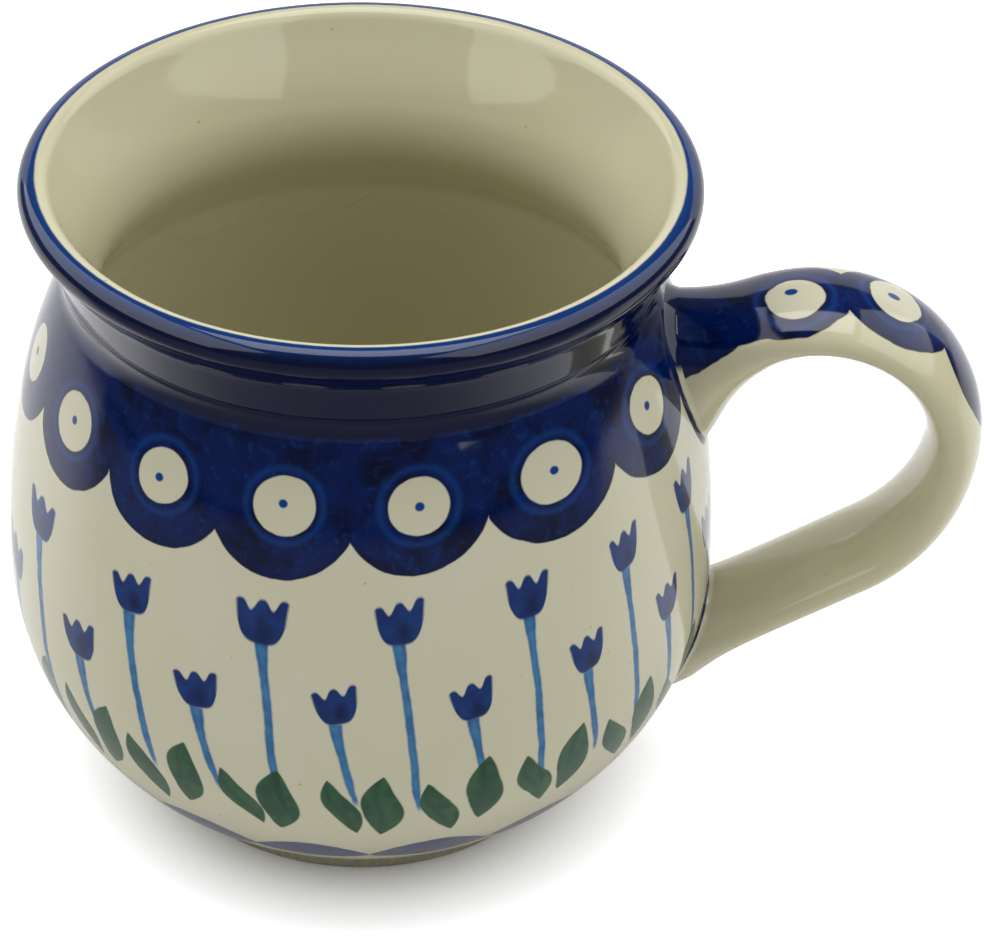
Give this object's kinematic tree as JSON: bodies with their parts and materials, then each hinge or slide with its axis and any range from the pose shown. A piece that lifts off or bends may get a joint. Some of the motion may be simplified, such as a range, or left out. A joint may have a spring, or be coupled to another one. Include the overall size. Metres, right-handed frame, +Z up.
{
  "type": "polish stoneware mug",
  "caption": "Round-bellied stoneware drinking mug with a pinched neck, flared collar, low foot ring and one pulled strap handle, glazed and hand-painted in cobalt and green.",
  "frame": {"origin": "centre of the foot ring on the plane the mug rests on", "axes": "+Z up along the bowl's turning axis; +X out through the middle of the handle; the handle lies in the XZ plane"},
  "size_m": [0.1389, 0.1022, 0.101],
  "materials": {
    "body_glaze": "gloss",
    "handle_glaze": "gloss",
    "joint_glaze": "gloss"
  },
  "bodies": {
    "root": {"mug_body": "body_glaze", "handle": "handle_glaze", "upper_slip_joint": "joint_glaze", "lower_slip_joint": "joint_glaze"}
  },
  "joints": []
}
